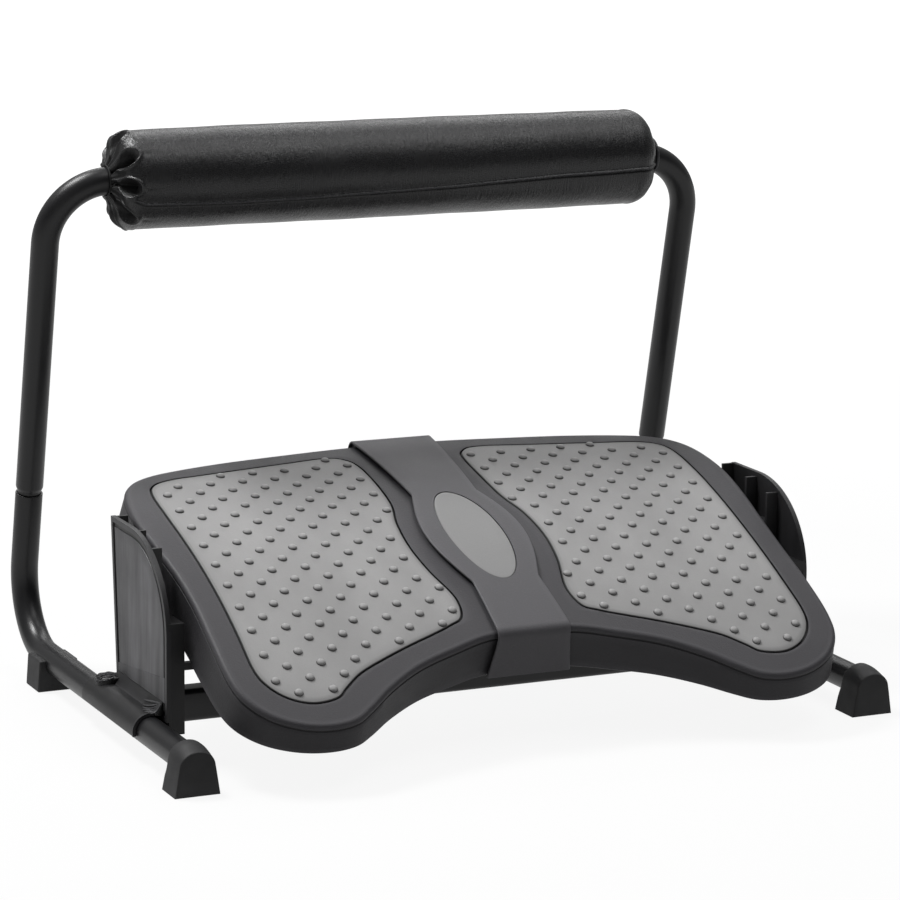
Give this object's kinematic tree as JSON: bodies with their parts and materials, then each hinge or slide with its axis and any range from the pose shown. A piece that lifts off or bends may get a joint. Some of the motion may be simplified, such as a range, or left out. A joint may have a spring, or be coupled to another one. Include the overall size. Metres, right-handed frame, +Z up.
{
  "type": "ergonomic footrest",
  "caption": "Under-desk footrest with a tilting two-pad platform on pocketed side towers and a padded calf roller on a tube frame.",
  "frame": {"origin": "on the floor under the middle of the footrest's bounding box", "axes": "+X to the right across the footrest, +Y back towards the uprights, away from the user, +Z up"},
  "size_m": [0.599, 0.4326, 0.4439],
  "materials": {
    "zinc_screw": "zinc plated",
    "steel_axle": "bright drawn",
    "black_tube": "satin black powder coat",
    "foot_rubber": "matt moulded",
    "tower_plastic": "fine grained black",
    "shell_plastic": "fine textured charcoal",
    "cover_plastic": "fine textured dark grey",
    "pad_rubber": "matt with raised bumps",
    "inlay_plastic": "plain mid grey",
    "leatherette": "fine grained coated cloth",
    "foam": "open cell foam"
  },
  "bodies": {
    "frame": {"crossbar": "black_tube", "left_crossbar_screw": "zinc_screw", "left_front_foot": "foot_rubber", "left_joint_screw": "zinc_screw", "left_rear_foot": "foot_rubber", "left_rear_foot_screw": "zinc_screw", "left_saddle_screw_front": "zinc_screw", "left_saddle_screw_rear": "zinc_screw", "left_side_tube": "black_tube", "left_tower": "tower_plastic", "right_crossbar_screw": "zinc_screw", "right_front_foot": "foot_rubber", "right_joint_screw": "zinc_screw", "right_rear_foot": "foot_rubber", "right_rear_foot_screw": "zinc_screw", "right_saddle_screw_front": "zinc_screw", "right_saddle_screw_rear": "zinc_screw", "right_side_tube": "black_tube", "right_tower": "tower_plastic", "upper_bar": "black_tube"},
    "roller": {"roller_cover": "leatherette", "roller_foam": "foam", "roller_liner": "tower_plastic"},
    "axle_carrier": {"axle": "steel_axle", "left_trunnion": "tower_plastic", "right_trunnion": "tower_plastic"},
    "platform": {"centre_cover": "cover_plastic", "centre_joiner": "tower_plastic", "left_insert": "pad_rubber", "left_joiner_screw_back": "zinc_screw", "left_joiner_screw_front": "zinc_screw", "left_shell": "shell_plastic", "oval_inlay": "inlay_plastic", "right_insert": "pad_rubber", "right_joiner_screw_back": "zinc_screw", "right_joiner_screw_front": "zinc_screw", "right_shell": "shell_plastic"}
  },
  "joints": [
    {"name": "roller_spin", "type": "hinge", "parent": "frame", "child": "roller", "pos_m": [0, 0.13363, 0.4043], "axis": [1, 0, 0], "continuous": true},
    {"name": "platform_lift", "type": "slide", "parent": "frame", "child": "axle_carrier", "axis": [0, 0, 1], "range_m": [0, 0.065]},
    {"name": "platform_tilt", "type": "hinge", "parent": "axle_carrier", "child": "platform", "pos_m": [0, -0.0351, 0.114], "axis": [-1, 0, 0], "range_deg": [0, 28]}
  ]
}
